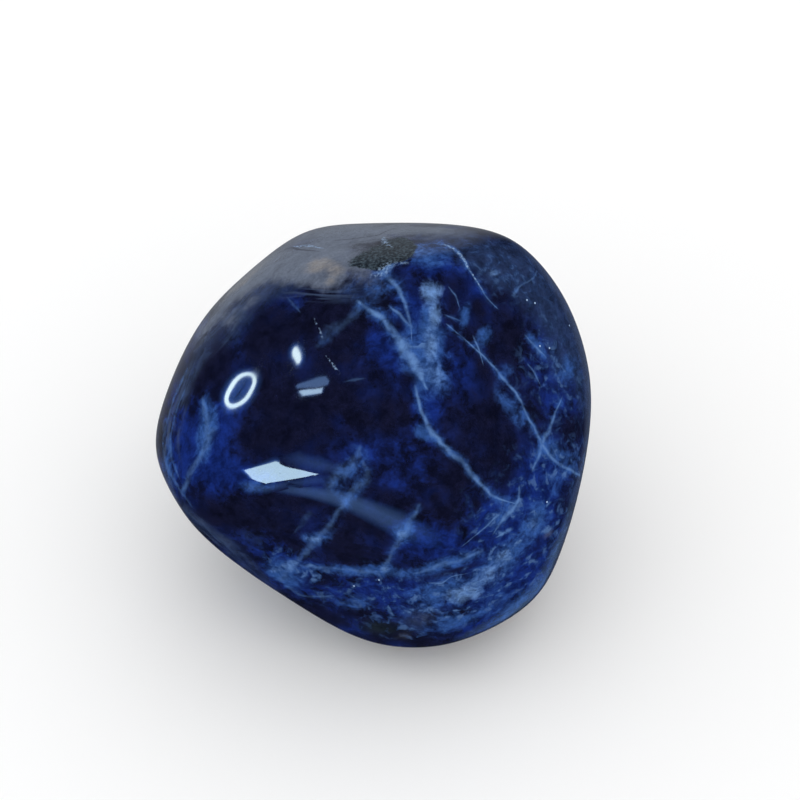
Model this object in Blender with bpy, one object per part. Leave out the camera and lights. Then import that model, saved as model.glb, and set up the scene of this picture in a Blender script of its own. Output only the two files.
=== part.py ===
"""A tumbled sodalite: one polished stone, made as the solid inside a set of rounded faces."""
import math

import bmesh
import bpy
import numpy as np
from mathutils import Vector, noise

MM = 0.001

# The faces are laid out as someone sees them who looks at the stone's front from this far above it.
VIEW_ELEVATION_DEG = 45

# Each face of the stone. "clock" is the way it faces round the line of sight, counted from the right
# and anticlockwise. "lean" is how far it faces towards the viewer, and is negative on the hidden side.
# "reach" is its distance from the middle of the stone in mm. A higher "crispness" leaves a face
# flatter, with a tighter edge to its neighbours.
FACES = {
    "top_edge": {"clock": 89, "lean": 0, "reach": 17.4, "crispness": 20},
    "upper_left_edge": {"clock": 129, "lean": 2, "reach": 17.6, "crispness": 20},
    "left_shoulder": {"clock": 156, "lean": 4, "reach": 18.25, "crispness": 22},
    "left_nose": {"clock": 184, "lean": 2, "reach": 20.4, "crispness": 22},
    "low_left_corner": {"clock": 217, "lean": 0, "reach": 17.55, "crispness": 18},
    "low_left_edge": {"clock": 236, "lean": -4, "reach": 15.95, "crispness": 24},
    "foot_front": {"clock": 276, "lean": 0, "reach": 19.3, "crispness": 14},
    "low_right_corner": {"clock": 308, "lean": 0, "reach": 19.6, "crispness": 16},
    "right_edge": {"clock": 346, "lean": 0, "reach": 16.6, "crispness": 20},
    "right_shoulder": {"clock": 14, "lean": 0, "reach": 17.7, "crispness": 12},
    "top_right_corner": {"clock": 52, "lean": 0, "reach": 18.85, "crispness": 12},
    "front": {"clock": 250, "lean": 76, "reach": 15.9, "crispness": 12},
    "dome": {"clock": 150, "lean": 62, "reach": 14.9, "crispness": 12},
    "left_cheek": {"clock": 166, "lean": 34, "reach": 17.0, "crispness": 12},
    "right_cheek": {"clock": 12, "lean": 56, "reach": 15.6, "crispness": 10},
    "top_slope": {"clock": 98, "lean": 20, "reach": 16.6, "crispness": 22},
    "upper_left_slope": {"clock": 132, "lean": 24, "reach": 17.0, "crispness": 18},
    "low_facet": {"clock": 247, "lean": 42, "reach": 15.1, "crispness": 24},
    "low_right_slope": {"clock": 308, "lean": 42, "reach": 17.2, "crispness": 12},
    "underside": {"clock": 270, "lean": -45, "reach": 14.4, "crispness": 12},
    "under_front": {"clock": 270, "lean": -20, "reach": 17.3, "crispness": 12},
    "under_left": {"clock": 237, "lean": -40, "reach": 15.4, "crispness": 12},
    "under_right": {"clock": 303, "lean": -40, "reach": 15.6, "crispness": 12},
    "under_back": {"clock": 284, "lean": -70, "reach": 15.7, "crispness": 12},
    "back": {"clock": 80, "lean": -60, "reach": 15.6, "crispness": 12},
    "back_left": {"clock": 165, "lean": -45, "reach": 16.0, "crispness": 14},
    "back_right": {"clock": 5, "lean": -50, "reach": 15.6, "crispness": 14},
}

# Shallow worn hollows: where they lie, how deep they are in mm, and how wide they are in degrees.
HOLLOWS = {
    "upper_left_hollow": {"clock": 126, "lean": 4, "depth": 0.15, "spread": 12},
    "back_hollow": {"clock": 60, "lean": -40, "depth": 0.35, "spread": 16},
}

# The slow swell that wear leaves on the faces.
SWELL_HEIGHT_MM = 0.05
SWELL_WAVES = 2.6

# The spot that the stone rests on is ground flat at this height above the lowest point.
REST_CUT_MM = 0.25

STONE_COLOUR = (0.012, 0.028, 0.13, 1)
POLISH_ROUGHNESS = 0.08
SODALITE_IOR = 1.48

PANELS_PER_SIDE = 26
STARTING_RADIUS_MM = 16.0
SOLVING_STEPS = 14


def facing(clock, lean):
    """The unit vector that a face with this clock and lean points along."""
    view = math.radians(VIEW_ELEVATION_DEG)
    right = Vector((1, 0, 0))
    up = Vector((0, math.sin(view), math.cos(view)))
    viewer = Vector((0, -math.cos(view), math.sin(view)))
    across = math.cos(math.radians(clock)) * right + math.sin(math.radians(clock)) * up
    return math.cos(math.radians(lean)) * across + math.sin(math.radians(lean)) * viewer


def face_distances(directions):
    """How far the stone's rounded faces are from its middle along each direction, in mm.

    Each face adds (radius * alignment / reach) ** crispness, and the surface is where the sum is 1.
    """
    terms = []
    for face in FACES.values():
        normal = np.array(facing(face["clock"], face["lean"]))
        slope = np.maximum(directions @ normal, 0) / face["reach"]
        terms.append((slope, face["crispness"]))
    radius = np.full(len(directions), STARTING_RADIUS_MM)
    for _ in range(SOLVING_STEPS):
        total = np.zeros_like(radius)
        growth = np.zeros_like(radius)
        for slope, crispness in terms:
            share = (radius * slope) ** crispness
            total += share
            growth += crispness * share
        radius *= np.exp(-np.log(total) * total / growth)
    return radius


def hollow_depths(directions):
    """How deep the worn hollows are along each direction, in mm."""
    depth = np.zeros(len(directions))
    for hollow in HOLLOWS.values():
        centre = np.array(facing(hollow["clock"], hollow["lean"]))
        falloff = 1 - math.cos(math.radians(hollow["spread"]))
        depth += hollow["depth"] * np.exp(-(1 - directions @ centre) / falloff)
    return depth


def swell(directions):
    """The height of the slow swell along each direction, in mm."""
    heights = [noise.noise(Vector(d) * SWELL_WAVES) for d in directions]
    return SWELL_HEIGHT_MM * np.array(heights)


def stone_radius(directions):
    """The distance from the stone's middle to its surface along each unit direction, in mm."""
    return face_distances(directions) - hollow_depths(directions) + swell(directions)


def sphere_of_panels(panels):
    """A cube with this many panels along each edge, blown up to an even unit sphere."""
    mesh = bmesh.new()
    bmesh.ops.create_cube(mesh, size=2)
    bmesh.ops.subdivide_edges(mesh, edges=mesh.edges[:], cuts=panels - 1, use_grid_fill=True)
    for vertex in mesh.verts:
        even = [math.tan(part * math.pi / 4) for part in vertex.co]
        vertex.co = Vector(even).normalized()
    return mesh


def grind_rest(mesh):
    """Cuts the underside off flat, so that the stone rests on a small spot."""
    lowest = min(vertex.co.z for vertex in mesh.verts)
    level = lowest + REST_CUT_MM * MM
    everything = mesh.verts[:] + mesh.edges[:] + mesh.faces[:]
    bmesh.ops.bisect_plane(
        mesh, geom=everything, plane_co=(0, 0, level), plane_no=(0, 0, -1), clear_outer=True
    )
    rim = [edge for edge in mesh.edges if edge.is_boundary]
    bmesh.ops.contextual_create(mesh, geom=rim)
    bmesh.ops.recalc_face_normals(mesh, faces=mesh.faces[:])


def stand_on_origin(mesh):
    """Moves the stone so that the middle of its box is over the origin, with its foot at Z 0."""
    points = np.array([vertex.co for vertex in mesh.verts])
    lowest, highest = points.min(axis=0), points.max(axis=0)
    middle = (lowest + highest) / 2
    bmesh.ops.translate(mesh, verts=mesh.verts[:], vec=(-middle[0], -middle[1], -lowest[2]))


def polished_blue():
    """The stone's own colour: dark blue, opaque and polished."""
    material = bpy.data.materials.new("polished_sodalite")
    material.use_nodes = True
    shader = material.node_tree.nodes["Principled BSDF"]
    shader.inputs["Base Color"].default_value = STONE_COLOUR
    shader.inputs["Roughness"].default_value = POLISH_ROUGHNESS
    shader.inputs["Metallic"].default_value = 0
    shader.inputs["IOR"].default_value = SODALITE_IOR
    return material


def build_stone():
    mesh = sphere_of_panels(PANELS_PER_SIDE)
    directions = np.array([vertex.co for vertex in mesh.verts])
    radii = stone_radius(directions)
    for vertex, radius in zip(mesh.verts, radii):
        vertex.co *= radius * MM
    grind_rest(mesh)
    stand_on_origin(mesh)
    data = bpy.data.meshes.new("sodalite_stone")
    mesh.to_mesh(data)
    mesh.free()
    data.shade_smooth()
    stone = bpy.data.objects.new("sodalite_stone", data)
    bpy.context.scene.collection.objects.link(stone)
    data.materials.append(polished_blue())
    return stone


for old in list(bpy.data.objects):
    bpy.data.objects.remove(old)
build_stone()
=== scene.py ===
import math

import bmesh
import bpy
import numpy as np
from mathutils import Matrix, Vector, noise
from mathutils.bvhtree import BVHTree
from mathutils.interpolate import poly_3d_calc


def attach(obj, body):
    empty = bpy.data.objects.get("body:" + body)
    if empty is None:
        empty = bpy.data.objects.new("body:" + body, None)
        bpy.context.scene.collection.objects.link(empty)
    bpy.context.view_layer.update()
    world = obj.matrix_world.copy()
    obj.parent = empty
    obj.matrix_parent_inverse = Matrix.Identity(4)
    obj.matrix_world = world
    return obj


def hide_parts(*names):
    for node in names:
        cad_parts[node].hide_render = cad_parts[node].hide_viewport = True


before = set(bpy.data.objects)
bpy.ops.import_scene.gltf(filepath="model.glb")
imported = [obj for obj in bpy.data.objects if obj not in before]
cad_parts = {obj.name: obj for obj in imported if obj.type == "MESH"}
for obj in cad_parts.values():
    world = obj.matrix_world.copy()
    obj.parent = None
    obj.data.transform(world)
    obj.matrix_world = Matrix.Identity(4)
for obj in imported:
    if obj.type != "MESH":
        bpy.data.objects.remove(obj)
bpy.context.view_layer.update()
scene = bpy.context.scene
scene.view_settings.view_transform = "Standard"
mm = 0.001

# The camera looks down on the stone. "photoSize" is the picture that pixels are counted in.
view = {
    "pitch": 45,
    "lens": 110,
    "sensor": 36,
    "clipStart": 10 * mm,
    "distance": 0.2031,
    "aim": (0.00234, 0.00106, 0.01542),
    "photoSize": 800,
}
pitch = math.radians(view["pitch"])
rightWay = Vector((1, 0, 0))
upWay = Vector((0, math.sin(pitch), math.cos(pitch)))
viewerWay = Vector((0, -math.cos(pitch), math.sin(pitch)))


def addObject(name, data):
    item = bpy.data.objects.new(name, data)
    scene.collection.objects.link(item)
    return item


def addCamera():
    data = bpy.data.cameras.new("camera")
    data.lens = view["lens"]
    data.sensor_width = view["sensor"]
    data.clip_start = view["clipStart"]
    item = addObject("camera", data)
    item.location = Vector(view["aim"]) + viewerWay * view["distance"]
    item.rotation_euler = (math.radians(90) - pitch, 0, 0)
    scene.camera = item
    return item


camera = addCamera()
print("camera is in place")


# The stone keeps the shape of the solid it stands for, with finer faces for an even polish.
stoneMesh = {"name": "polished_stone", "levels": 2, "mergeDistance": 0.001 * mm}
stoneMiddle = Vector((1.18, -0.59, 13.77)) * mm


def makeStone(cadNode):
    mesh = bmesh.new()
    mesh.from_mesh(cadNode.data)
    bmesh.ops.remove_doubles(mesh, verts=mesh.verts[:], dist=stoneMesh["mergeDistance"])
    anyAngle = {"angle_face_threshold": math.pi, "angle_shape_threshold": math.pi}
    bmesh.ops.join_triangles(mesh, faces=mesh.faces[:], **anyAngle)
    data = bpy.data.meshes.new(stoneMesh["name"])
    mesh.to_mesh(data)
    mesh.free()
    piece = addObject(stoneMesh["name"], data)
    finer = piece.modifiers.new("finer", "SUBSURF")
    finer.levels = stoneMesh["levels"]
    finer.render_levels = stoneMesh["levels"]
    evaluated = piece.evaluated_get(bpy.context.evaluated_depsgraph_get())
    smoothData = bpy.data.meshes.new_from_object(evaluated)
    piece.modifiers.clear()
    piece.data = smoothData
    smoothData.shade_smooth()
    return piece


stone = makeStone(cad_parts["sodalite_stone"])
points = [vertex.co for vertex in stone.data.vertices]
surface = BVHTree.FromPolygons(points, [face.vertices for face in stone.data.polygons])
print("stone has", len(stone.data.polygons), "faces")


def hitStone(start, way):  # the point of the stone that a ray meets, and its smooth normal
    point, _, face, _ = surface.ray_cast(start, way)
    if point is None:
        raise ValueError(f"no stone along {tuple(way)}")
    corners = [stone.data.vertices[i] for i in stone.data.polygons[face].vertices]
    shares = poly_3d_calc([corner.co for corner in corners], point)
    normal = sum((corner.normal * share for corner, share in zip(corners, shares)), Vector())
    return point, normal.normalized()


def sightWay(pixel):  # the way that the camera looks through a pixel of the photograph
    half = view["photoSize"] / 2
    reach = view["photoSize"] * view["lens"] / view["sensor"]
    across = rightWay * (pixel[0] - half) + upWay * (half - pixel[1])
    return (across - viewerWay * reach).normalized()


def seenAt(pixel):
    return hitStone(camera.location, sightWay(pixel))


def placeOf(point):  # millimetres right, up and towards the viewer from the stone's middle
    arm = (point - stoneMiddle) / mm
    return Vector((arm.dot(rightWay), arm.dot(upWay), arm.dot(viewerWay)))


# The stone is painted point by point, in patches. A slow and a quick drift move their edges, each with its
# waves to a millimetre and its reach as a share of a patch's size.
drifts = {"slowWaves": 0.3, "slowReach": 0.5, "quickWaves": 0.9, "quickReach": 0.35, "quickLimit": 1.2}
patchDepth = 7.0  # millimetres towards the viewer and away
patchFade = {"end": 1.6, "length": 1.5}
places = np.array([placeOf(point) for point in points])
driftSeed = 7
noise.seed_set(driftSeed)
slowDrift = np.array([noise.noise_vector(Vector(place) * drifts["slowWaves"]) for place in places])
quickDrift = np.array([noise.noise_vector(Vector(place) * drifts["quickWaves"]) for place in places])


def patch(at, size, strength, turn=0, **more):
    return {"at": at, "size": size, "strength": strength, "turn": turn, **more}


# Soft clouds, each with the pixel where it is seen, half its width and height in millimetres, its strength
# and its turn in degrees.
# Among them, the sheen and parts of the grey, beige and blue are painted reflection.
clouds = {
    "royal": {
        "middle": patch((395, 462), (3.4, 3.2), 0.45),
        "middleLeft": patch((350, 448), (2.2, 1.6), 0.5),
        "smallMiddle": patch((337, 420), (0.7, 0.8), 0.6),
        "left": patch((214, 462), (2.6, 2.4), 0.95),
        "leftUpper": patch((212, 425), (2.2, 2.2), 0.8),
        "underWindow": patch((250, 478), (2.4, 1.2), 0.7),
        "besideLongVein": patch((426, 402), (1.2, 2.6), 0.9),
        "upperMiddle": patch((416, 325), (2.4, 3.6), 0.9),
        "arcLeft": patch((380, 343), (1.6, 2.2), 0.7, 30),
        "centre": patch((385, 378), (3.0, 1.5), 0.4),
        "upper": patch((440, 262), (2.4, 1.4), 0.9),
        "crack": patch((473, 288), (0.8, 1.8), 0.8, 35),
        "middleRight": patch((462, 375), (2.0, 3.0), 0.6),
        "lowRight": patch((515, 530), (4.4, 4.8), 1.0, -30),
        "right": patch((548, 470), (2.4, 2.4), 0.8),
        "low": patch((400, 592), (8.5, 2.6), 0.65),
        "foot": patch((500, 600), (5.5, 2.8), 0.9, 35),
        "lowLeft": patch((290, 576), (3.0, 1.8), 0.7, -30),
        "facet": patch((255, 542), (2.8, 1.3), 0.45, -40),
        "rightZone": patch((558, 370), (2.6, 5.0), 0.7, 8),
        "underRidge": patch((432, 542), (3.4, 1.9), 0.7, -10),
        "ring": patch((232, 385), (2.2, 2.6), 0.25),
        "leftRim": patch((176, 448), (1.7, 4.6), 0.8, 2),
        "upperLeft": patch((262, 300), (2.2, 1.0), 0.6, 45),
        "upperBand": patch((290, 303), (1.6, 0.8), 0.5),
        "aboveRing": patch((236, 342), (1.0, 2.0), 0.4, -25),
    },
    # Painted sheen: the polish's reflection of a grey room, painted on the top, the right, the lower facet
    # and the rims.
    "paintedSheen": {
        "topRight": patch((500, 262), (4.6, 2.3), 0.95, -32),
        "right": patch((562, 335), (2.4, 5.4), 0.8, 10),
        "shoulder": patch((532, 288), (3.2, 4.0), 0.7, 40),
        "rightLow": patch((577, 478), (1.0, 3.2), 0.6, 5),
        "lowRightRim": patch((562, 540), (0.7, 2.6), 0.7, -15),
        "left": patch((246, 308), (3.4, 1.8), 0.85, 48),
        "leftRim": patch((196, 362), (4.6, 1.0), 0.8, 62),
        "lowLeftRim": patch((214, 535), (6.5, 0.8), 0.8, -42),
        "rightRim": patch((581, 370), (0.8, 4.6), 0.8, 8),
        "top": patch((440, 236), (5.0, 1.6), 0.8, -8),
        "facet": patch((250, 538), (1.6, 0.9), 0.45, -40),
        "branch": patch((352, 295), (2.6, 1.2), 0.6, -8),
        "upperBand": patch((278, 287), (3.0, 1.0), 0.8, 5),
        "foot": patch((418, 616), (2.4, 1.2), 0.8, 15),
    },
    "blue": {
        "upper": patch((437, 256), (1.9, 1.1), 0.65),
        "matrixEdge": patch((367, 284), (2.6, 1.2), 0.5),
        "arcStart": patch((376, 300), (1.6, 1.4), 0.2),
        "arc": patch((410, 356), (1.1, 3.0), 0.6, 32),
        "arcRight": patch((434, 372), (1.4, 2.2), 0.75, 8),
        "besideMatrix": patch((428, 252), (1.5, 1.2), 0.7),
        "lowRightFoot": patch((500, 600), (2.4, 1.4), 0.5, 35),
        "column": patch((432, 325), (0.9, 2.8), 0.9),
        "underBright": patch((430, 341), (1.2, 1.6), 0.9),
        "blob": patch((464, 315), (0.45, 1.0), 1.0, -15),
        "blobRight": patch((483, 336), (0.5, 0.9), 0.9, -20),
        # Painted reflection of the floor along the left rim.
        "leftEdge": patch((167, 462), (0.6, 3.4), 0.6, 8),
        "knot": patch((421, 432), (0.6, 0.6), 0.95),
        "leftVein": patch((207, 430), (0.8, 2.6), 0.95),
        "crackShade": patch((513, 407), (0.9, 2.4), 0.6, 32),
        "rightStreak": patch((536, 346), (0.45, 1.4), 0.75, 38),
        "rightBright": patch((570, 370), (1.3, 1.2), 0.7),
        "crossing": patch((558, 453), (2.0, 1.0), 0.75, -30),
        "crossingLow": patch((552, 480), (1.3, 1.3), 0.5),
        "lowLeft": patch((283, 573), (1.8, 1.0), 0.95, -30),
        "underWindow": patch((254, 486), (1.6, 0.5), 0.6),
        "starKnot": patch((315, 539), (1.1, 0.5), 0.7),
        "rightFacetKnot": patch((405, 534), (0.8, 0.7), 0.85),
        "lowKnot": patch((385, 570), (1.3, 0.6), 0.85),
        "lowRightBand": patch((506, 558), (2.8, 1.2), 0.9, 36),
        "lowRightUpper": patch((502, 516), (1.4, 0.8), 0.6, 30),
        "lowRightSide": patch((535, 522), (1.1, 1.6), 0.85, -20),
        "lowMiddle": patch((447, 592), (3.4, 1.3), 0.85, 12),
        "foot": patch((452, 621), (2.6, 0.9), 0.85, 18),
        # Painted reflection of the pale floor: a pale strip along the lower-right rim.
        "rim": patch((520, 602), (3.4, 0.6), 0.75, 42),
        "lowBand": patch((365, 571), (4.8, 0.5), 0.7),
        "lowBandRight": patch((447, 563), (3.4, 0.6), 0.75, 16),
        "lowVein": patch((345, 474), (0.6, 1.9), 0.45, -40),
        "secondLowVein": patch((362, 482), (0.6, 1.2), 0.35, -40),
        "low": patch((355, 604), (1.5, 0.8), 0.6),
        "besideCrack": patch((507, 372), (0.8, 0.6), 0.4),
    },
    "pale": {
        "bright": patch((430, 291), (0.85, 1.0), 1.0),
        "brightTail": patch((436, 315), (0.45, 1.0), 0.95),
        "upper": patch((430, 251), (2.0, 1.1), 0.25),
        "matrixBorder": patch((386, 268), (0.9, 0.5), 0.75, 30),
        "arcRight": patch((434, 372), (1.0, 1.7), 0.45, 8),
        "lowRightBand": patch((482, 580), (2.8, 0.8), 0.5, 32),
        "brightMiddle": patch((431, 341), (0.7, 1.1), 0.75),
        "arc": patch((413, 362), (0.5, 1.3), 0.5, 32),
        "patch": patch((461, 596), (1.4, 0.6), 0.95, 5),
        "spot": patch((494, 272), (0.4, 0.32), 0.75),
        "lowRightSpot": patch((503, 556), (0.8, 0.5), 0.7, 40),
        "rightSpot": patch((534, 523), (0.4, 0.8), 0.5),
        "rightKnot": patch((404, 535), (0.45, 0.36), 0.8),
        "lowKnot": patch((385, 569), (0.4, 0.3), 0.8),
        "starKnot": patch((315, 539), (0.8, 0.25), 0.7),
        "lowLeftSpot": patch((276, 569), (0.6, 0.3), 0.6, 10),
        "lowLeftKnot": patch((290, 567), (0.5, 0.5), 0.5),
    },
    # The grey band on top and the grey along the rims: partly the stone's own grey, partly a painted
    # reflection of a grey backdrop.
    "grey": {
        "upperLeft": patch((262, 272), (2.6, 1.0), 0.95, 40),
        "upper": patch((298, 263), (2.6, 1.9), 0.95, 10),
        "upperRight": patch((336, 250), (3.0, 1.9), 0.95, 10),
        "upperFoot": patch((330, 280), (1.3, 1.0), 0.85, 30),
        "upperLow": patch((302, 277), (2.4, 1.0), 0.6, -5),
        "top": patch((415, 230), (5.0, 0.8), 0.9, -5),
        "topMiddle": patch((386, 231), (3.2, 0.9), 0.9),
        "underMatrix": patch((364, 284), (2.6, 1.1), 0.3),
        "topLeft": patch((335, 232), (4.6, 1.2), 0.95, 2),
        "rim": patch((257, 271), (4.2, 1.1), 0.95, 42),
        "rimLow": patch((214, 318), (3.6, 0.8), 0.7, 52),
        "lowLeftRim": patch((218, 536), (7.0, 0.45), 0.25, -42),
        "besideMatrix": patch((357, 266), (1.5, 1.4), 0.85),
        "leftSpot": patch((252, 303), (0.9, 0.5), 0.55, 55),
        "leftLowSpot": patch((232, 318), (1.1, 0.7), 0.5, 50),
        "foot": patch((423, 617), (1.6, 0.8), 0.3, 15),
        "footLeft": patch((403, 635), (1.0, 0.6), 0.35, 5),
        "right": patch((548, 535), (0.6, 0.3), 0.5, 40),
    },
    "beige": {
        "upper": patch((316, 263), (1.6, 0.7), 0.65, 20),
        "upperRight": patch((337, 268), (1.3, 0.6), 0.55, -20),
        "upperFoot": patch((331, 280), (0.6, 1.0), 0.5, -20),
        # Along the upper-left rim the beige is a painted reflection of the room.
        "leftRim": patch((245, 279), (3.4, 0.45), 0.55, 42),
    },
    "black": {
        "middle": patch((298, 425), (4.2, 3.2), 0.9),
        "middleRight": patch((338, 395), (2.6, 1.8), 0.85),
        "upperLeft": patch((272, 335), (2.0, 3.4), 0.95),
        "left": patch((216, 362), (1.8, 2.6), 0.85, -25),
        "upperMiddle": patch((331, 313), (1.5, 1.1), 0.95),
        "upperMiddleLeft": patch((309, 328), (0.9, 1.2), 0.7),
        "underBranch": patch((352, 332), (1.1, 0.8), 0.9, 30),
        "besideLamp": patch((334, 360), (1.5, 1.2), 0.8),
        "arcLow": patch((376, 374), (1.4, 0.8), 0.6),
        "centre": patch((386, 412), (0.9, 2.2), 0.9),
        "besideArc": patch((411, 380), (0.8, 0.7), 0.85),
        "betweenVeins": patch((399, 325), (0.5, 0.6), 0.85, 30),
        "gap": patch((478, 408), (2.0, 2.2), 0.6, 30),
        "gapLow": patch((456, 482), (0.9, 2.0), 0.85, 10),
        "gapRight": patch((505, 462), (1.2, 2.2), 0.85),
        "gapMiddle": patch((487, 440), (1.5, 1.2), 0.65),
        "besideVeinEnd": patch((477, 505), (0.5, 1.0), 0.95),
        "ridgeEnd": patch((434, 498), (0.7, 0.6), 0.95),
        "aboveRidge": patch((392, 498), (2.2, 0.7), 0.75, -18),
        "crackRight": patch((495, 295), (0.9, 0.9), 0.85),
        "blobRight": patch((477, 308), (0.8, 1.1), 0.95),
        "underUpper": patch((462, 283), (1.0, 0.8), 0.6),
        "blobLeft": patch((452, 303), (0.6, 1.2), 0.7),
        "besideLongCrack": patch((479, 368), (0.8, 1.7), 0.85, 20),
        "facet": patch((222, 512), (2.6, 1.3), 0.95, -12),
        "facetUpper": patch((306, 501), (2.6, 0.6), 0.9, 5),
        "facetMiddle": patch((280, 518), (2.8, 1.0), 0.65),
        "facetRight": patch((356, 524), (1.5, 1.0), 0.6, -20),
        "facetFarRight": patch((382, 538), (1.3, 0.9), 0.7, -20),
        "underLowBand": patch((318, 580), (1.3, 0.7), 0.95),
        "right": patch((574, 424), (1.5, 1.4), 0.9),
        "rightLow": patch((563, 502), (0.6, 1.6), 0.6),
        "foot": patch((461, 610), (1.1, 0.5), 0.95),
        "lowLeft": patch((312, 604), (1.8, 0.7), 0.6, -25),
        "lowStreak": patch((455, 571), (2.6, 0.3), 0.7, 16),
    },
    "green": {
        "foot": patch((380, 628), (1.7, 0.8), 0.9, 5),
    },
}


def smooth(share):
    share = np.clip(share, 0, 1)
    return share * share * (3 - 2 * share)


def patchShare(area):  # how far out of a patch each point is, where its edge is at 1
    wide, high = area["size"]
    small = min(wide, high)
    arm = places - placeOf(seenAt(area["at"])[0]) + drifts["slowReach"] * small * slowDrift
    arm += drifts["quickReach"] * min(small, drifts["quickLimit"]) * quickDrift
    turn = math.radians(area["turn"])
    across = (arm[:, 0] * math.cos(turn) + arm[:, 1] * math.sin(turn)) / wide
    up = (arm[:, 1] * math.cos(turn) - arm[:, 0] * math.sin(turn)) / high
    return np.sqrt(across ** 2 + up ** 2 + (arm[:, 2] / patchDepth) ** 2)


def coverOf(patches):
    clear = np.ones(len(places))
    for area in patches.values():
        clear *= 1 - area["strength"] * smooth((patchFade["end"] - patchShare(area)) / patchFade["length"])
    return 1 - clear


cover = {colour: coverOf(patches) for colour, patches in clouds.items()}
print("clouds are painted in", len(clouds), "colours")


def vein(layer, width, strength, glow, path, swell):
    return {"layer": layer, "width": width, "strength": strength, "glow": glow, "path": path, "swell": swell}


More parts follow.
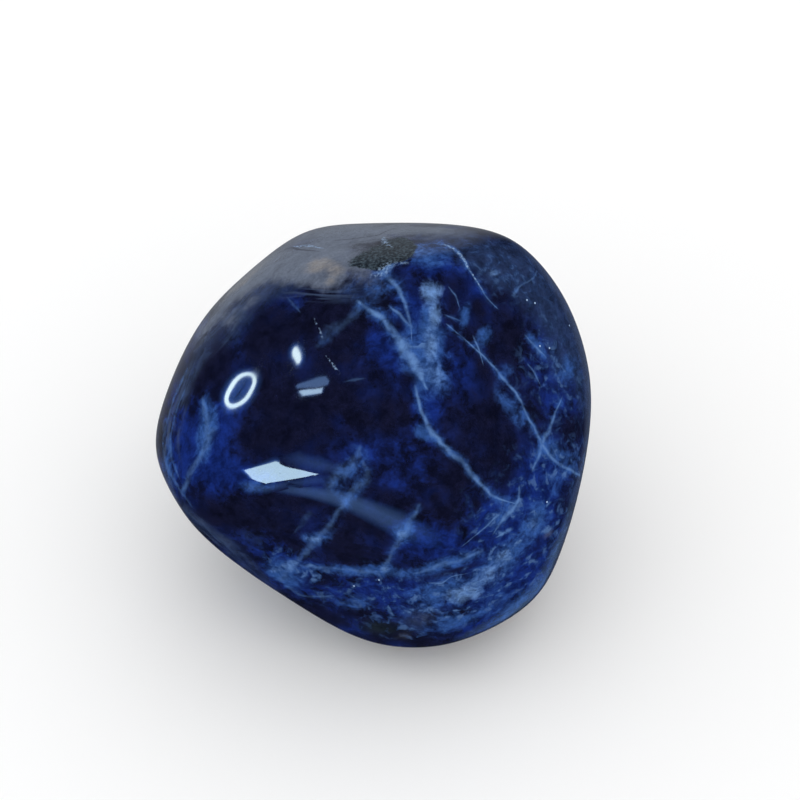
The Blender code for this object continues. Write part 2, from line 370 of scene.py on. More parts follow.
# Veins, each with its layer, half its width in millimetres, its strength, how far the blue beside it reaches,
# the pixels where it is seen, and how its width swells along the way. Veins that meet or come close to each
# other are in different layers.
veins = {
    "arc": vein("veinsA", 0.18, 1.0, 0.5, [
        (360, 303), (370, 311), (382, 318), (392, 330), (401, 341), (408, 355), (416, 368), (425, 385)
    ], [(0, 0.5), (0.2, 0.8), (0.45, 0.9), (0.6, 1.7), (0.85, 1.3), (1, 0.4)]),
    "longVein": vein("veinsB", 0.13, 0.85, 0.45, [
        (416, 391), (421, 408), (426, 422), (433, 434), (443, 445), (451, 453), (464, 463), (473, 476),
        (486, 489), (495, 497), (513, 503)
    ], [(0, 0.6), (0.15, 0.8), (0.3, 1.2), (0.5, 1), (0.8, 0.9), (1, 0.2)]),
    "upperVein": vein("veinsB", 0.13, 0.75, 0.5, [
        (383, 273), (390, 279), (398, 289), (404, 302), (409, 317), (411, 330), (412, 344)
    ], [(0, 1.2), (0.3, 1), (0.6, 0.8), (1, 0)]),
    "besideUpperVein": vein("veinsC", 0.1, 0.7, 0.3, [
        (392, 308), (401, 316), (409, 325)
    ], [(0, 0.5), (0.4, 1), (1, 0.8)]),
    "speckledCrack": vein("veinsC", 0.07, 0.7, 0.3, [
        (438, 244), (446, 245), (454, 249), (461, 256), (470, 271), (480, 286), (487, 298), (495, 306)
    ], [(0, 0.6), (0.25, 1.4), (0.5, 0.9), (1, 0.5)]),
    "longCrack": vein("veinsA", 0.07, 0.8, 0.25, [
        (450, 327), (458, 334), (471, 345), (480, 353), (492, 365), (502, 377), (511, 387), (520, 400),
        (528, 417), (536, 431), (543, 446), (553, 459), (565, 467), (579, 475)
    ], [(0, 0.5), (0.2, 0.7), (0.4, 1.3), (0.6, 1.0), (0.75, 1.3), (0.85, 1.5), (1, 1)]),
    "crossStroke": vein("veinsB", 0.06, 0.7, 0.2, [
        (475, 340), (479, 350), (482, 360)
    ], [(0, 1), (0.5, 0.8), (1, 0.5)]),
    "crossing": vein("veinsC", 0.1, 0.65, 0.35, [
        (561, 400), (553, 419), (549, 430), (543, 441), (539, 455), (534, 467)
    ], [(0, 0.3), (0.35, 1.4), (0.6, 1), (1, 0.8)]),
    "leftVein": vein("veinsA", 0.24, 0.42, 0.7, [
        (203, 400), (206, 417), (209, 432), (205, 447), (199, 459), (191, 470), (187, 482), (183, 490)
    ], [(0, 0.5), (0.3, 1.6), (0.5, 0.8), (0.8, 0.9), (1, 0.8)]),
    "lowVein": vein("veinsB", 0.34, 0.2, 0.9, [
        (359, 449), (355, 460), (350, 467), (339, 475), (330, 487)
    ], [(0, 0.3), (0.4, 1), (1, 0.8)]),
    "secondLowVein": vein("veinsC", 0.24, 0.22, 0.8, [
        (364, 464), (368, 476), (356, 489), (345, 502)
    ], [(0, 0.4), (0.5, 1), (1, 0.9)]),
    "facetVein": vein("veinsA", 0.17, 0.24, 0.7, [
        (345, 502), (337, 512), (332, 523), (324, 531), (316, 539), (306, 552), (297, 562), (288, 570),
        (281, 580)
    ], [(0, 1.2), (0.2, 0.7), (0.5, 1.4), (0.75, 0.8), (1, 1.2)]),
    "facetFaint": vein("veinsC", 0.16, 0.12, 0.4, [
        (309, 514), (303, 522), (296, 531)
    ], [(0, 1), (0.5, 1), (1, 0.4)]),
    "rightFacetVein": vein("veinsA", 0.14, 0.3, 0.5, [
        (418, 507), (411, 521), (405, 534), (396, 546), (389, 559), (384, 571)
    ], [(0, 0.6), (0.4, 1.4), (0.7, 0.8), (1, 1.3)]),
    "lowBandVein": vein("veinsB", 0.13, 0.3, 0.4, [
        (303, 566), (323, 568), (341, 569), (361, 571), (380, 572)
    ], [(0, 1), (0.2, 1.3), (0.5, 0.5), (0.8, 1.5), (1, 0.6)]),
    "lowBandRight": vein("veinsB", 0.12, 0.45, 0.4, [
        (417, 573), (431, 569), (445, 564), (462, 560), (479, 552)
    ], [(0, 0.5), (0.4, 1.3), (0.7, 0.8), (1, 0.8)]),
    "downVein": vein("veinsC", 0.1, 0.75, 0.3, [
        (519, 490), (518, 500), (511, 511), (502, 520), (495, 531)
    ], [(0, 0.7), (0.4, 1), (0.6, 1.6), (1, 0.4)]),
    "thinSlant": vein("veinsA", 0.06, 0.75, 0.15, [
        (497, 516), (482, 530), (465, 544)
    ], [(0, 1.4), (0.3, 0.9), (1, 0.5)]),
    "brightDash": vein("veinsB", 0.13, 0.8, 0.3, [
        (508, 531), (499, 536)
    ], [(0, 1), (0.5, 0.8), (1, 0.4)]),
    "wavyCrack": vein("veinsC", 0.045, 0.8, 0, [
        (432, 583), (442, 583), (451, 577), (464, 574)
    ], [(0, 0.6), (0.5, 1), (1, 0.4)]),
    "lowLeftStreak": vein("veinsC", 0.12, 0.25, 0.5, [
        (288, 587), (304, 596), (331, 596)
    ], [(0, 1), (0.5, 1), (1, 0.3)]),
    "branch": vein("veinsC", 0.34, 0.14, 0.9, [
        (361, 303), (355, 314), (343, 323), (331, 331), (319, 344)
    ], [(0, 0.8), (0.4, 0.6), (0.8, 1.2), (1, 0.4)]),
    "ringStreak": vein("veinsA", 0.1, 0.2, 0.4, [
        (289, 299), (293, 304), (298, 310)
    ], [(0, 0.5), (0.5, 1), (1, 0.4)]),
    "rightVein": vein("veinsB", 0.1, 0.6, 0.3, [
        (528, 338), (535, 346), (544, 355)
    ], [(0, 0.4), (0.5, 1), (1, 0.4)]),
    "rightThin": vein("veinsB", 0.06, 0.5, 0.2, [
        (530, 367), (535, 374), (539, 382)
    ], [(0, 0.6), (0.5, 1), (1, 0.4)]),
    "shoulderVein": vein("veinsA", 0.09, 0.4, 0.3, [
        (515, 293), (521, 286), (533, 278), (536, 273)
    ], [(0, 1), (0.3, 0.7), (1, 0.5)]),
    "cornerVein": vein("veinsB", 0.07, 0.65, 0.2, [
        (452, 291), (456, 296), (458, 303)
    ], [(0, 0.6), (0.5, 1), (1, 0.4)]),
    "blobVein": vein("veinsC", 0.06, 0.6, 0.2, [
        (448, 316), (453, 318), (458, 320)
    ], [(0, 0.6), (0.5, 1), (1, 0.4)]),
    # Painted reflection streaks along the left rim, drawn as pale veins.
    "leftRimReflectionStreak": vein("veinsB", 0.16, 0.3, 0.35, [
        (186, 372), (174, 398), (166, 425), (163, 445), (167, 465), (176, 484), (190, 504)
    ], [(0, 1.4), (0.2, 1), (0.5, 0.8), (0.8, 1.2), (1, 0.5)]),
    "leftRimInnerReflectionStreak": vein("veinsC", 0.12, 0.3, 0.3, [
        (184, 392), (176, 412), (171, 435), (171, 455), (178, 475)
    ], [(0, 0.5), (0.4, 1), (0.8, 1.2), (1, 0.5)]),
    "lampScratch": vein("specks", 0.07, 0.5, 0, [
        (316, 322), (318, 327), (321, 334)
    ], [(0, 1), (0.5, 0.8), (1, 1)]),
    "besideLampScratch": vein("specks", 0.07, 0.7, 0, [
        (328, 358), (332, 363), (337, 370)
    ], [(0, 0.6), (0.6, 1), (1, 1)]),
    "dimStreak": vein("veinsA", 0.1, 0.2, 0.4, [
        (348, 381), (354, 380), (361, 379)
    ], [(0, 0.5), (0.5, 1), (1, 0.4)]),
    "matrixBorder": vein("specks", 0.3, 0.45, 0.5, [
        (374, 275), (381, 273), (384, 268), (390, 264), (397, 263), (404, 263)
    ], [(0, 0.5), (0.3, 1.2), (0.6, 0.8), (1, 0.4)]),
    "crackSpecks": vein("specks", 0.1, 0.8, 0, [
        (446, 245), (454, 249), (461, 256), (468, 267), (480, 286)
    ], [(0, 0.6), (0.3, 1.3), (1, 0.3)]),
    "upperGlint": vein("specks", 0.14, 1.0, 0.25, [
        (294, 247), (301, 246), (309, 246), (321, 248)
    ], [(0, 0.7), (0.4, 1.4), (1, 0.4)]),
    "matrixGlint": vein("specks", 0.16, 0.8, 0, [
        (383, 238), (385, 243), (390, 246)
    ], [(0, 0.7), (0.4, 1.4), (1, 0.4)]),
    "topHairline": vein("cracks", 0.07, 0.8, 0, [
        (338, 240), (352, 239), (366, 237), (378, 235), (392, 229), (412, 225)
    ], [(0, 0.7), (0.5, 1), (1, 0.4)]),
    "besideGlint": vein("cracks", 0.12, 0.7, 0, [
        (280, 252), (290, 248), (304, 250), (318, 251)
    ], [(0, 0.8), (0.5, 0.8), (1, 0.3)]),
    "acrossCrack": vein("cracks", 0.06, 0.6, 0, [
        (453, 333), (460, 336), (468, 343)
    ], [(0, 0.8), (0.5, 1), (1, 0.3)]),
}
# Veins on the sides that the photograph doesn't show, each along corners as seen from the stone's middle:
# degrees anticlockwise from the right, and degrees towards the viewer.
hiddenVeins = {
    "rightSide": vein("veinsA", 0.16, 0.9, 0.5, [
        (338, -4), (343, -22), (352, -38), (10, -55), (42, -66)
    ], [(0, 0.4), (0.3, 1.2), (0.7, 0.8), (1, 0.2)]),
    "backLong": vein("veinsB", 0.2, 0.9, 0.7, [
        (72, -14), (84, -30), (110, -44), (150, -56), (196, -54)
    ], [(0, 0.3), (0.3, 1.3), (0.6, 0.8), (1, 0.4)]),
    "backBranch": vein("veinsC", 0.14, 0.8, 0.5, [
        (104, -42), (82, -56), (54, -70), (330, -80)
    ], [(0, 1), (0.5, 0.8), (1, 0.3)]),
    "leftSide": vein("veinsC", 0.12, 0.85, 0.4, [
        (178, -8), (186, -24), (178, -42), (158, -60)
    ], [(0, 0.5), (0.4, 1.3), (1, 0.4)]),
    "leftCrack": vein("veinsA", 0.09, 0.9, 0.3, [
        (140, -10), (150, -26), (168, -36), (192, -40), (214, -34)
    ], [(0, 0.6), (0.5, 1.2), (1, 0.4)]),
    "underLong": vein("veinsB", 0.17, 0.85, 0.6, [
        (222, -12), (240, -28), (262, -38), (292, -36), (318, -24)
    ], [(0, 0.3), (0.4, 1.2), (0.8, 0.9), (1, 0.3)]),
    "underCrack": vein("veinsC", 0.09, 0.9, 0.3, [
        (280, -20), (284, -40), (292, -58), (320, -72)
    ], [(0, 0.4), (0.5, 1.2), (1, 0.5)]),
    "topBack": vein("veinsA", 0.13, 0.8, 0.5, [
        (36, -12), (50, -22), (62, -38), (66, -52)
    ], [(0, 0.4), (0.5, 1.2), (1, 0.3)]),
}
seenPieces = 8  # between one pixel and the next
hiddenPieces = 48
hiddenStray = {"reach": 0.05, "waves": 7}
# How far a vein's paint reaches, how it fades at its sides and past its ends, and how strong its glow is.
veinFade = {"reach": 1.3, "side": 0.4, "end": 0.35, "endStart": 1.3, "glow": 0.65}


def smoothCourse(corners, pieces):  # a smooth line through the corners
    corners = np.array(corners, dtype=float)
    padded = np.vstack([2 * corners[0] - corners[1], corners, 2 * corners[-1] - corners[-2]])
    t = np.linspace(0, 1, pieces, endpoint=False)[:, None]
    spans = []
    for a, b, c, d in zip(padded, padded[1:], padded[2:], padded[3:]):
        cubic = t * (2 * a - 5 * b + 4 * c - d + t * (3 * (b - c) + d - a))
        spans.append(b + 0.5 * t * (c - a + cubic))
    return np.vstack(spans + [corners[-1:]])


def wayFromMiddle(clock, lean):
    across = rightWay * math.cos(math.radians(clock)) + upWay * math.sin(math.radians(clock))
    return across * math.cos(math.radians(lean)) + viewerWay * math.sin(math.radians(lean))


def seenCourse(path):
    return [seenAt(pixel) for pixel in smoothCourse(path, seenPieces)]


def hiddenCourse(path):  # strays a little, as the veins in view do
    hits = []
    for way in smoothCourse([wayFromMiddle(*corner) for corner in path], hiddenPieces):
        way = Vector(way)
        stray = noise.noise_vector(way * hiddenStray["waves"]) * hiddenStray["reach"]
        hits.append(hitStone(stoneMiddle, (way + stray).normalized()))
    return hits


veinLayers = {line["layer"]: np.zeros((len(places), 3)) for line in veins.values()}
veinGaps = {layer: np.full(len(places), veinFade["reach"]) for layer in veinLayers}


def paintVein(line, hits):  # stores how far the points near it are to its side, its width and its strength
    course = np.array([placeOf(point) for point, _ in hits])
    normals = np.array([[normal.dot(way) for way in (rightWay, upWay, viewerWay)] for _, normal in hits])
    along = np.gradient(course, axis=0)
    along /= np.linalg.norm(along, axis=1)[:, None]
    sides = np.cross(normals, along)
    middle = course.mean(axis=0)
    span = np.linalg.norm(course - middle, axis=1).max() + veinFade["reach"]
    near = np.flatnonzero(np.linalg.norm(places - middle, axis=1) < span)
    arms = places[near, None] - course[None]
    gaps = np.linalg.norm(arms, axis=2)
    nearest = gaps.argmin(axis=1)
    gap = gaps.min(axis=1)
    arm = arms[np.arange(len(near)), nearest]
    side = (arm * sides[nearest]).sum(axis=1)
    pastEnd = np.abs((arm * along[nearest]).sum(axis=1))
    width = line["width"] * np.interp(nearest / (len(course) - 1), *zip(*line["swell"]))
    strength = line["strength"] * smooth(veinFade["endStart"] - pastEnd / veinFade["end"])
    strength *= smooth((veinFade["reach"] - gap) / veinFade["side"])
    if line["glow"]:
        glow = veinFade["glow"] * np.sqrt(strength) * np.exp(-(gap / line["glow"]) ** 2)
        cover["blue"][near] = 1 - (1 - cover["blue"][near]) * (1 - glow)
    closest = gap < veinGaps[line["layer"]][near]
    chosen = near[closest]
    veinGaps[line["layer"]][chosen] = gap[closest]
    veinLayers[line["layer"]][chosen] = np.stack([side, width, strength], axis=1)[closest]


for line in veins.values():
    paintVein(line, seenCourse(line["path"]))
for line in hiddenVeins.values():
    paintVein(line, hiddenCourse(line["path"]))
print("veins are painted in", len(veinLayers), "layers")

# Patches of pale flecks, of painted reflection streaks that run the way each is turned, and of grey-green
# grains.
fleckZones = {
    "lowRight": patch((518, 540), (4.2, 5.0), 0.9, -30),
    "lowRightBand": patch((500, 566), (5.0, 1.5), 0.8, 36),
    "foot": patch((440, 606), (6.5, 2.4), 0.8, 15),
    "lowLeft": patch((298, 572), (3.0, 1.2), 0.8, -25),
    "lowMiddle": patch((375, 590), (5.0, 2.0), 0.5),
    "crossing": patch((560, 460), (2.4, 2.4), 0.7),
    "right": patch((556, 370), (2.6, 4.0), 0.5, 8),
    "topRight": patch((505, 268), (4.6, 2.2), 0.4, -35),
}
streakZones = {
    "upper": patch((318, 294), (2.8, 0.6), 0.45, -2, fineness=5.0),
    "left": patch((178, 400), (5.5, 1.0), 0.35, 72, fineness=3.4),
    "leftLow": patch((170, 455), (3.6, 0.8), 0.35, 98, fineness=3.4),
    "leftUpper": patch((232, 312), (3.4, 1.3), 0.3, 50, fineness=3.2),
    "lowLeft": patch((212, 538), (7.0, 0.5), 0.35, -42, fineness=3.4),
}
matrixZones = {
    "right": patch((404, 250), (1.0, 1.1), 1.0),
    "rightTop": patch((394, 246), (1.2, 0.8), 0.9),
    "middle": patch((380, 257), (1.4, 1.4), 1.0),
    "left": patch((366, 262), (1.1, 0.8), 0.75),
    "farLeft": patch((352, 266), (0.8, 0.6), 0.5),
}
streakStretch = 0.35  # how slowly streaks change along their way
streakPull = 4


def streakPlaces():  # places stretched along the streaks, with each zone counting most near itself
    stretched = np.zeros((len(places), 3))
    weights = np.zeros((len(places), 1))
    for zone in streakZones.values():
        turn = math.radians(zone["turn"])
        arm = places - placeOf(seenAt(zone["at"])[0])
        along = streakStretch * (arm[:, 0] * math.cos(turn) + arm[:, 1] * math.sin(turn))
        across = zone["fineness"] * (arm[:, 1] * math.cos(turn) - arm[:, 0] * math.sin(turn))
        weight = np.minimum(1, patchShare(zone)[:, None] ** -streakPull)
        stretched += weight * np.stack([along, across, streakStretch * arm[:, 2]], axis=1)
        weights += weight
    return stretched / weights


def storePaint(name, values):
    single = values.ndim == 1
    attribute = stone.data.attributes.new(name, "FLOAT" if single else "FLOAT_VECTOR", "POINT")
    attribute.data.foreach_set("value" if single else "vector", values.astype(np.float32).ravel())


for colour, values in cover.items():
    storePaint(colour + "Cover", values)
for layer, values in veinLayers.items():
    storePaint(layer, values)
for name, zones in (("flecks", fleckZones), ("streaks", streakZones), ("matrix", matrixZones)):
    storePaint(name + "Cover", coverOf(zones))
storePaint("streakPlace", streakPlaces())
print("zones of flecks, streaks and grains are painted")


# Small helpers for node trees.
def feed(tree, value, socket):
    if isinstance(value, bpy.types.NodeSocket):
        tree.links.new(value, socket)
    else:
        socket.default_value = value


def addNode(tree, kind, inputs=None, **settings):
    node = tree.nodes.new(kind)
    for name, value in settings.items():
        setattr(node, name, value)
    for name, value in (inputs or {}).items():
        feed(tree, value, node.inputs[name])
    return node


def maths(tree, operation, *values):
    node = addNode(tree, "ShaderNodeMath", operation=operation)
    for value, socket in zip(values, node.inputs):
        feed(tree, value, socket)
    return node.outputs["Value"]


def vectorMaths(tree, operation, *values):
    node = addNode(tree, "ShaderNodeVectorMath", operation=operation)
    for value, socket in zip(values, node.inputs):
        feed(tree, value, socket)
    return node.outputs["Value" if operation in ("DISTANCE", "DOT_PRODUCT") else "Vector"]


def fade(tree, value, start, end, low=0.0, high=1.0):  # goes smoothly from low at start to high at end
    inputs = {"Value": value, "From Min": start, "From Max": end, "To Min": low, "To Max": high}
    return addNode(tree, "ShaderNodeMapRange", inputs, interpolation_type="SMOOTHSTEP").outputs["Result"]


def swingOf(tree, pattern, reach):  # turns a pattern into one that swings to both sides of zero
    return maths(tree, "MULTIPLY", maths(tree, "SUBTRACT", pattern, 0.5), reach)


def mixColour(tree, factor, first, second):
    node = addNode(tree, "ShaderNodeMix", data_type="RGBA")
    for name, value in (("Factor_Float", factor), ("A_Color", first), ("B_Color", second)):
        feed(tree, value, next(s for s in node.inputs if s.identifier == name))
    return next(s for s in node.outputs if s.identifier == "Result_Color")


def patternOf(tree, place, name, output="Fac"):
    scale, detail, roughness = patterns[name]
    inputs = {"Vector": place, "Scale": scale, "Detail": detail, "Roughness": roughness}
    return addNode(tree, "ShaderNodeTexNoise", inputs).outputs[output]


def painted(tree, name, output="Fac"):
    return addNode(tree, "ShaderNodeAttribute", attribute_name=name).outputs[output]


def screen(red, green, blue):  # a colour from 0 to 255 as on the screen, turned into light
    def channel(value):
        share = value / 255
        return share / 12.92 if share <= 0.04045 else ((share + 0.055) / 1.055) ** 2.4
    return (channel(red), channel(green), channel(blue), 1)


# The stone's colours, as they look on the screen.
# Some are painted light: sheen and streaks are painted reflection, grey and beige partly, glint a highlight.
stoneColours = {
    "black": screen(14, 16, 37),
    "navy": screen(17, 23, 56),
    "royal": screen(17, 37, 102),
    # painted sheen, a reflection of the room
    "paintedSheen": screen(34, 48, 80),
    "blue": screen(42, 74, 132),
    "pale": screen(86, 118, 166),
    "vein": screen(94, 131, 185),
    "grey": screen(96, 105, 122),
    "beige": screen(134, 131, 130),
    "green": screen(26, 34, 40),
    "paintedReflectionStreak": screen(76, 94, 126),
    "matrixDark": screen(18, 28, 38),
    "matrixPale": screen(62, 78, 90),
    "speck": screen(140, 168, 204),
    "glint": screen(170, 198, 236),
}
# The noise behind each pattern: its waves to a millimetre, its detail and its roughness.
patterns = {
    "mottle": (0.26, 4.0, 0.58),
    "drift": (0.7, 2.0, 0.5),
    "fine": (0.9, 5.0, 0.66),
    "speckle": (1.3, 4.0, 0.55),
    "bend": (1.2, 1.0, 0.5),
    "grain": (4.5, 2.0, 0.6),
    "streaks": (1.0, 1.0, 0.6),
    "waves": (0.5, 0.0, 0.5),
    "relief": (4.5, 0.0, 0.5),
}
# Where each part of the look starts and ends along a pattern, and in some its values there.
fades = {
    "navy": (0.38, 0.58),
    "royal": (0.5, 0.64),
    "royalDepth": (8.0, 0.0, 0.25, 1.0),
    "hiddenDepth": (5.0, -2.0),
    "hiddenBlue": (0.58, 0.7),
    "hiddenBreaks": (0.45, 0.62),
    "cloud": (0.1, 1.0),
    "contrast": (0.3, 0.7, -0.42, 0.45),
    "greyContrast": (0.0, 1.0, 1.0, 0.3),
    "grain": (0.3, 0.7, 0.88, 1.12),
    "streaks": (0.45, 0.66),
    "vein": (0.0, 2.2, 1.0, 0.0),
    "veinSpeckle": (0.36, 0.6, 0.45, 1.0),
    "veinBreaks": (0.3, 0.6, 0.5, 1.0),
    "matrix": (0.4, 0.6),
    "matrixGrain": (0.4, 0.68),
    "specks": (0.47, 0.58),
}
flecks = {
    "navy": {"fade": (0.46, 0.3), "strength": 0.6},
    "blue": {"fade": (0.47, 0.62), "strength": 0.7},
    "pale": {"fade": (0.55, 0.7), "strength": 0.8},
}
# Pinholes, each with a painted glint.
pinholes = {
    "at": [(527, 300), (535, 303), (549.5, 348), (540, 346), (569.5, 325.5), (354, 586), (379, 580),
           (547, 502)],
    "radius": 0.1,
    "core": 0.04,
    "furthest": 9.0,
}
finish = {
    "ior": 1.48,
    "roughness": 0.03,
    "matrixRoughness": 0.3,
    "drift": 1.2,
    "ragged": 7.0,
    "soft": 3.0,
    "wobble": 3.0,
    "matrixRagged": 0.12,
    "waves": 0.005,
    "matrixRelief": 0.03,
}
raggedClouds = ("royal", "blue", "pale", "black")


def addClouds(tree, colour, ragged, soft):  # clouds are most broken where they are half clear
    for name in clouds:
        cloud = painted(tree, name + "Cover")
        thin = maths(tree, "MULTIPLY", cloud, maths(tree, "SUBTRACT", 1.0, cloud))
        edge = maths(tree, "MULTIPLY_ADD", thin, ragged if name in raggedClouds else soft, cloud)
        colour = mixColour(tree, fade(tree, edge, *fades["cloud"]), colour, stoneColours[name])
    return colour


def lineMask(tree, layer, wobble):  # the mask of a layer of painted veins
    line = addNode(tree, "ShaderNodeSeparateXYZ", {"Vector": painted(tree, layer, "Vector")}).outputs
    gap = maths(tree, "ABSOLUTE", maths(tree, "MULTIPLY_ADD", wobble, line["Y"], line["X"]))
    core = fade(tree, maths(tree, "DIVIDE", gap, line["Y"]), *fades["vein"])
    return maths(tree, "MULTIPLY", core, line["Z"])


def sodaliteMaterial():
    material = bpy.data.materials.new("polished_sodalite")
    material.use_nodes = True
    tree = material.node_tree
    shader = tree.nodes["Principled BSDF"]
    shader.inputs["IOR"].default_value = finish["ior"]

    # Millimetres right, up and towards the viewer, turned and moved from the object's own coordinates.
    objectPlace = addNode(tree, "ShaderNodeTexCoord").outputs["Object"]
    turn = Matrix((rightWay, upWay, viewerWay))
    shift = -(turn @ stoneMiddle) / mm
    inputs = {"Vector": objectPlace, "Location": shift, "Rotation": turn.to_euler(), "Scale": (1 / mm,) * 3}
    place = addNode(tree, "ShaderNodeMapping", inputs).outputs["Vector"]
    deep = addNode(tree, "ShaderNodeSeparateXYZ", {"Vector": place}).outputs["Z"]

    # The patterns that everything below shares.
    mottle = patternOf(tree, place, "mottle")
    drift = vectorMaths(tree, "SUBTRACT", patternOf(tree, place, "drift", "Color"), (0.5, 0.5, 0.5))
    smoky = vectorMaths(tree, "MULTIPLY_ADD", drift, (finish["drift"],) * 3, place)
    fine = patternOf(tree, smoky, "fine")
    speckle = patternOf(tree, smoky, "speckle")
    grain = patternOf(tree, place, "grain")
    ragged = swingOf(tree, fine, finish["ragged"])
    soft = swingOf(tree, speckle, finish["soft"])
    wobble = swingOf(tree, patternOf(tree, place, "bend"), finish["wobble"])

    # Dark clouds with deep blue between them, paler and more broken on the sides that the photo hides.
    colour = mixColour(tree, fade(tree, mottle, *fades["navy"]), stoneColours["black"], stoneColours["navy"])
    bluer = fade(tree, deep, *fades["royalDepth"])
    bluer = maths(tree, "MULTIPLY", fade(tree, mottle, *fades["royal"]), bluer)
    colour = mixColour(tree, bluer, colour, stoneColours["royal"])
    broken = fade(tree, fine, *fades["hiddenBreaks"])
    paler = maths(tree, "MULTIPLY", fade(tree, mottle, *fades["hiddenBlue"]), broken)
    paler = maths(tree, "MULTIPLY", paler, fade(tree, deep, *fades["hiddenDepth"]))
    colour = mixColour(tree, paler, colour, stoneColours["blue"])
    colour = addClouds(tree, colour, ragged, soft)
    # Less contrast under the grey, which is partly painted reflection.
    calm = fade(tree, painted(tree, "greyCover"), *fades["greyContrast"])
    contrast = maths(tree, "MULTIPLY", fade(tree, fine, *fades["contrast"]), calm)
    colour = vectorMaths(tree, "MULTIPLY", colour, maths(tree, "ADD", 1.0, contrast))

    # Pale and dark flecks, close together in a few zones.
    fleckCover = painted(tree, "flecksCover")
    for name, fleck in flecks.items():
        mask = maths(tree, "MULTIPLY", fade(tree, speckle, *fleck["fade"]), fleckCover)
        mask = maths(tree, "MULTIPLY", mask, fleck["strength"])
        colour = mixColour(tree, mask, colour, stoneColours[name])
    colour = vectorMaths(tree, "MULTIPLY", colour, fade(tree, grain, *fades["grain"]))

    # Painted reflection streaks that run along one way, on the edge of the grey band and along the rims.
    streaks = patternOf(tree, painted(tree, "streakPlace", "Vector"), "streaks")
    streaks = maths(tree, "MULTIPLY", fade(tree, streaks, *fades["streaks"]), painted(tree, "streaksCover"))
    colour = mixColour(tree, streaks, colour, stoneColours["paintedReflectionStreak"])

    # The pale veins, broken up by the patterns.
    breaks = fade(tree, fine, *fades["veinBreaks"])
    breaks = maths(tree, "MULTIPLY", fade(tree, speckle, *fades["veinSpeckle"]), breaks)
    veined = 0.0
    for layer in ("veinsA", "veinsB", "veinsC"):
        veined = maths(tree, "MAXIMUM", veined, lineMask(tree, layer, wobble))
    colour = mixColour(tree, maths(tree, "MULTIPLY", veined, breaks), colour, stoneColours["vein"])

    # The granular grey-green patch, then pale specks, a few of them painted glints, and dark hairlines.
    matrixEdge = maths(tree, "MULTIPLY_ADD", ragged, finish["matrixRagged"], painted(tree, "matrixCover"))
    matrix = fade(tree, matrixEdge, *fades["matrix"])
    grained = fade(tree, grain, *fades["matrixGrain"])
    grained = mixColour(tree, grained, stoneColours["matrixDark"], stoneColours["matrixPale"])
    colour = mixColour(tree, matrix, colour, grained)
    specks = maths(tree, "MULTIPLY", lineMask(tree, "specks", wobble), fade(tree, grain, *fades["specks"]))
    colour = mixColour(tree, specks, colour, stoneColours["speck"])
    colour = mixColour(tree, lineMask(tree, "cracks", wobble), colour, stoneColours["black"])

    # Pinholes, with their glints painted into the colour as pale dots.
    nearest = pinholes["furthest"]
    for pixel in pinholes["at"]:
        gap = vectorMaths(tree, "DISTANCE", place, placeOf(seenAt(pixel)[0]))
        nearest = maths(tree, "MINIMUM", nearest, gap)
    pin = fade(tree, nearest, pinholes["core"], pinholes["radius"], 1.0, 0.0)
    feed(tree, mixColour(tree, pin, colour, stoneColours["glint"]), shader.inputs["Base Color"])

    # The polish is duller on the grey-green patch, and has slow waves.
    rough = fade(tree, matrix, 0.0, 1.0, finish["roughness"], finish["matrixRoughness"])
    feed(tree, rough, shader.inputs["Roughness"])
    height = maths(tree, "MULTIPLY", patternOf(tree, place, "waves"), finish["waves"])
    relief = maths(tree, "MULTIPLY", painted(tree, "matrixCover"), patternOf(tree, place, "relief"))
    height = maths(tree, "MULTIPLY_ADD", relief, finish["matrixRelief"], height)
    bump = addNode(tree, "ShaderNodeBump", {"Height": height, "Distance": mm})
    feed(tree, bump.outputs["Normal"], shader.inputs["Normal"])
    return material


stone.data.materials.clear()
stone.data.materials.append(sodaliteMaterial())
print("stone is coloured")


# What the polish mirrors. Each card is shaped so that the viewer sees it inside its outline of pixels, and
# its light falls off over a rim of so many pixels.
cards = {
    "windowCard": {
        "outline": [(244.5, 470.5), (250, 469), (276, 461.7), (297, 467.7), (318, 473), (317, 475.5),
                    (298, 478), (284, 481.3), (263.5, 484.2), (254.4, 481.3), (250, 476)],
        "colour": (0.56, 0.8, 1.0), "strength": 19, "rim": 6.5, "rimLight": 0.07,
    },
    "lampCard": {
        "outline": [(293.5, 352), (295, 349), (297, 349), (299, 353), (300, 358), (298.5, 362), (296, 362.5),
                    (293.5, 357)],
        "colour": (0.72, 0.9, 1.0), "strength": 24, "rim": 7, "rimLight": 0.09,
    },
    "slotCard": {
        "outline": [(298, 392.5), (322, 388.6), (321.5, 393), (302.5, 396.5)],
        "colour": (0.5, 0.72, 1.0), "strength": 17.5, "rim": 3, "rimLight": 0.08,
    },
    "greyCard": {
        "outline": [(296, 386.7), (316, 378.5), (324, 377.7), (328, 381.7), (326.6, 385.8), (306, 388.6),
                    (297.5, 389.8)],
        "colour": (0.26, 0.48, 1.0), "strength": 5.6, "rim": 2.5, "rimLight": 0.25,
    },
}
outlineStep = 3
insideShares = (0.02, 0.35, 0.7, 1)
rimSteps = ((0.12, 5), (0.45, 1), (1, 0))  # shares of the rim, and how bright it is there in rim lights

# The ring's light is even between its edges, and it has a faint glow inside and outside them.
ring = {
    "centre": (240.5, 390.5), "long": 19.5, "short": 9.8, "thickness": 4.4, "turn": 52, "points": 40,
    "inside": ((-9.3, 0.14), (-6.5, 0.14)),
    "edge": ((-0.8, 0.2), (0, 0.4), (0.8, 1.0)),
    "outside": ((1, 0.16), (2.5, 0.07), (6, 0.0)),
    "colour": (0.7, 0.9, 1.0), "strength": 22,
}

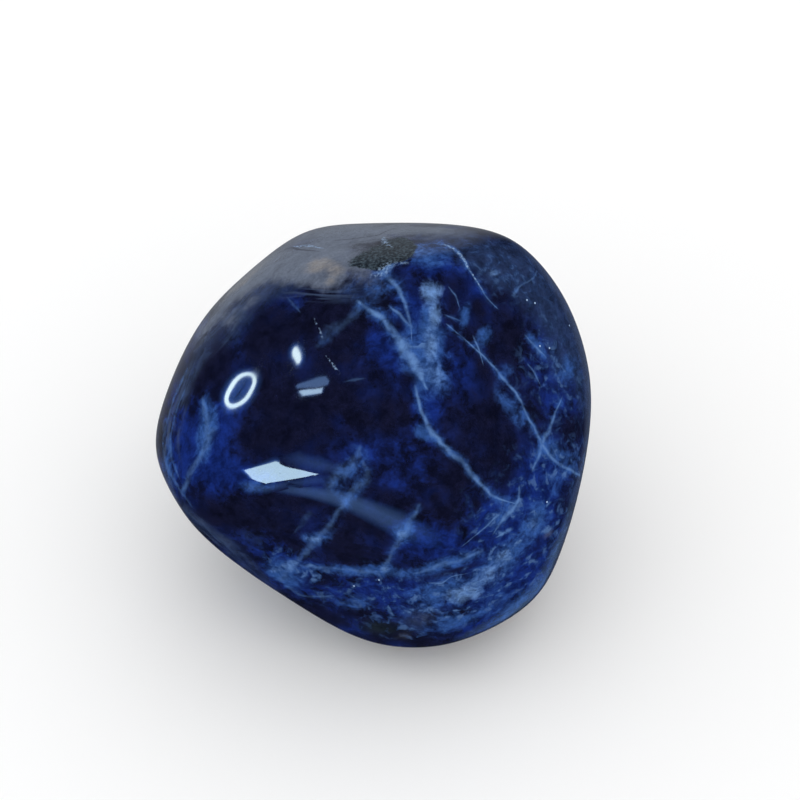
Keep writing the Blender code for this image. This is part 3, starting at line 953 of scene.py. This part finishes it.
# Bands of dim light, each along a line of pixels with half its width there and how bright it is.
bands = {
    "ridgeBand": {
        "line": [((268, 489), 3, 0.0), ((284, 489), 4, 0.6), ((306, 491.5), 5, 0.9), ((330, 496), 6.5, 1.0),
                 ((352, 503), 7.5, 1.0), ((376, 513), 9, 0.9), ((400, 524), 11, 0.8), ((424, 534), 9, 0.4),
                 ((446, 541), 6, 0.0)],
        "colour": (0.18, 0.4, 1.0), "strength": 3.8,
    },
    "dimBand": {
        "line": [((280, 459), 3, 0.0), ((298, 459), 7, 0.4), ((318, 464), 6.5, 0.5), ((338, 470), 4, 0.4),
                 ((354, 474), 3, 0.0)],
        "colour": (0.2, 0.42, 1.0), "strength": 4.0,
    },
    "windowFoot": {
        "line": [((238, 484), 4, 0.0), ((250, 487), 6, 0.6), ((266, 489), 4, 0.5), ((290, 484), 3, 0.4),
                 ((316, 480), 4, 0.4), ((334, 477), 3, 0.0)],
        "colour": (0.2, 0.42, 1.0), "strength": 4.5,
    },
}
bandSteps = ((-1.4, 0.0), (-0.8, 0.6), (-0.2, 1.0), (0.5, 0.8), (1.5, 0.0))
cardDistance = 0.25
glowColour = (0.1, 0.3, 1.0, 1)
glowFade = (0.1, 0.7)


def mirrored(pixel):  # where a card has to be for its light to be seen at this pixel
    point, normal = seenAt(pixel)
    way = sightWay(pixel)
    return point + (way - 2 * way.dot(normal) * normal) * cardDistance


def glowMaterial(name, card):  # the card's own colour, and a deeper blue where it is dim
    material = bpy.data.materials.new(name)
    material.use_nodes = True
    tree = material.node_tree
    tree.nodes.clear()
    shine = painted(tree, "shine")
    colour = mixColour(tree, fade(tree, shine, *glowFade), glowColour, (*card["colour"], 1))
    light = maths(tree, "MULTIPLY", shine, card["strength"])
    glow = addNode(tree, "ShaderNodeEmission", {"Color": colour, "Strength": light})
    output = addNode(tree, "ShaderNodeOutputMaterial")
    feed(tree, glow.outputs["Emission"], output.inputs["Surface"])
    return material


def addCard(name, card, rows, closed=True):  # rows of pixels, each pixel with how bright the card is there
    pixels = [pixel for row in rows for pixel, _ in row]
    shine = [light for row in rows for _, light in row]
    count = len(rows[0])
    faces = []
    for start in range(0, count * (len(rows) - 1), count):
        for i in range(count if closed else count - 1):
            after = (i + 1) % count
            faces.append((start + i, start + after, start + count + after, start + count + i))
    data = bpy.data.meshes.new(name)
    data.from_pydata([mirrored(pixel) for pixel in pixels], [], faces)
    data.attributes.new("shine", "FLOAT", "POINT").data.foreach_set("value", shine)
    data.materials.append(glowMaterial(name, card))
    item = addObject(name, data)
    item.visible_camera = False
    item.visible_diffuse = False
    item.visible_shadow = False


def finerOutline(outline):
    points = []
    for first, second in zip(outline, outline[1:] + outline[:1]):
        first = Vector(first)
        second = Vector(second)
        parts = max(1, round((second - first).length / outlineStep))
        points += [first.lerp(second, part / parts) for part in range(parts)]
    return points


def outlineRows(card):
    outline = finerOutline(card["outline"])
    middle = sum(outline, Vector((0, 0))) / len(outline)
    rows = [[(middle.lerp(point, share), 1.0) for point in outline] for share in insideShares]
    for share, lights in rimSteps:
        out = share * card["rim"]
        light = lights * card["rimLight"]
        rows.append([(point + (point - middle).normalized() * out, light) for point in outline])
    return rows


def ellipse(offset):
    turn = math.radians(ring["turn"])
    pixels = []
    for i in range(ring["points"]):
        angle = 2 * math.pi * i / ring["points"]
        along = (ring["long"] + offset) * math.cos(angle)
        across = (ring["short"] + offset) * math.sin(angle)
        pixels.append((ring["centre"][0] + along * math.cos(turn) + across * math.sin(turn),
                       ring["centre"][1] - along * math.sin(turn) + across * math.cos(turn)))
    return pixels


def ringRows():
    half = ring["thickness"] / 2
    lights = list(ring["inside"])
    lights += [(-half + gap, light) for gap, light in ring["edge"]]
    lights += [(half - gap, light) for gap, light in reversed(ring["edge"][1:])]
    lights += [(half + gap, light) for gap, light in ring["outside"]]
    return [[(pixel, light) for pixel in ellipse(offset)] for offset, light in lights]


def bandRows(band):
    rows = []
    spots = np.array([spot for spot, _, _ in band["line"]], dtype=float)
    ways = np.gradient(spots, axis=0)
    for (spot, half, light), way in zip(band["line"], ways):
        across = Vector((-way[1], way[0])).normalized() * half
        rows.append([(Vector(spot) + across * share, light * falloff) for share, falloff in bandSteps])
    return rows


for name, card in cards.items():
    addCard(name, card, outlineRows(card))
addCard("ringCard", ring, ringRows())
for name, band in bands.items():
    addCard(name, band, bandRows(band), closed=False)
print("cards are in place")

# The light is even all round. In the polish it shows as a dark room with a grey backdrop behind the stone
# on the left, which fades out across, along and up, and two dim ones low on the right.
studio = {
    "floorSize": 4.0,
    "floorColour": (0.95, 0.95, 0.95, 1),
    "floorRoughness": 0.9,
    "light": (1.1, 1.1, 1.1, 1),
    "darkRoom": (0.012, 0.015, 0.03, 1),
    "greyBackdrop": (0.2, 0.215, 0.24, 1),
    "greyFades": {"X": (0.25, -0.02), "Y": (0.38, 0.85), "Z": (0.35, 0.1)},
    "dimBackdrops": {
        "front": {"colour": (0.14, 0.25, 0.46, 1), "way": (0.48, 0.22, -0.85), "fade": (0.92, 1.0)},
        "side": {"colour": (0.1, 0.13, 0.2, 1), "way": (0.47, 0.68, -0.56), "fade": (0.9, 1.0)},
    },
}


def addFloor():
    half = studio["floorSize"] / 2
    corners = [(-half, -half, 0), (half, -half, 0), (half, half, 0), (-half, half, 0)]
    data = bpy.data.meshes.new("floor")
    data.from_pydata(corners, [], [(0, 1, 2, 3)])
    material = bpy.data.materials.new("paleFloor")
    material.use_nodes = True
    shader = material.node_tree.nodes["Principled BSDF"]
    shader.inputs["Base Color"].default_value = studio["floorColour"]
    shader.inputs["Roughness"].default_value = studio["floorRoughness"]
    data.materials.append(material)
    item = addObject("floor", data)
    item.visible_glossy = False


def addStudioLight():
    world = bpy.data.worlds.new("studio")
    scene.world = world
    world.use_nodes = True
    tree = world.node_tree
    way = addNode(tree, "ShaderNodeTexCoord").outputs["Generated"]
    axes = addNode(tree, "ShaderNodeSeparateXYZ", {"Vector": way}).outputs
    grey = 1.0
    for axis, ends in studio["greyFades"].items():
        grey = maths(tree, "MULTIPLY", grey, fade(tree, axes[axis], *ends))
    room = mixColour(tree, grey, studio["darkRoom"], studio["greyBackdrop"])
    for backdrop in studio["dimBackdrops"].values():
        share = fade(tree, vectorMaths(tree, "DOT_PRODUCT", way, backdrop["way"]), *backdrop["fade"])
        room = mixColour(tree, share, room, backdrop["colour"])
    glossy = addNode(tree, "ShaderNodeLightPath").outputs["Is Glossy Ray"]
    look = mixColour(tree, glossy, studio["light"], room)
    feed(tree, look, tree.nodes["Background"].inputs["Color"])


addFloor()
addStudioLight()
print("studio is lit")

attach(stone, "root")
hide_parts("sodalite_stone")
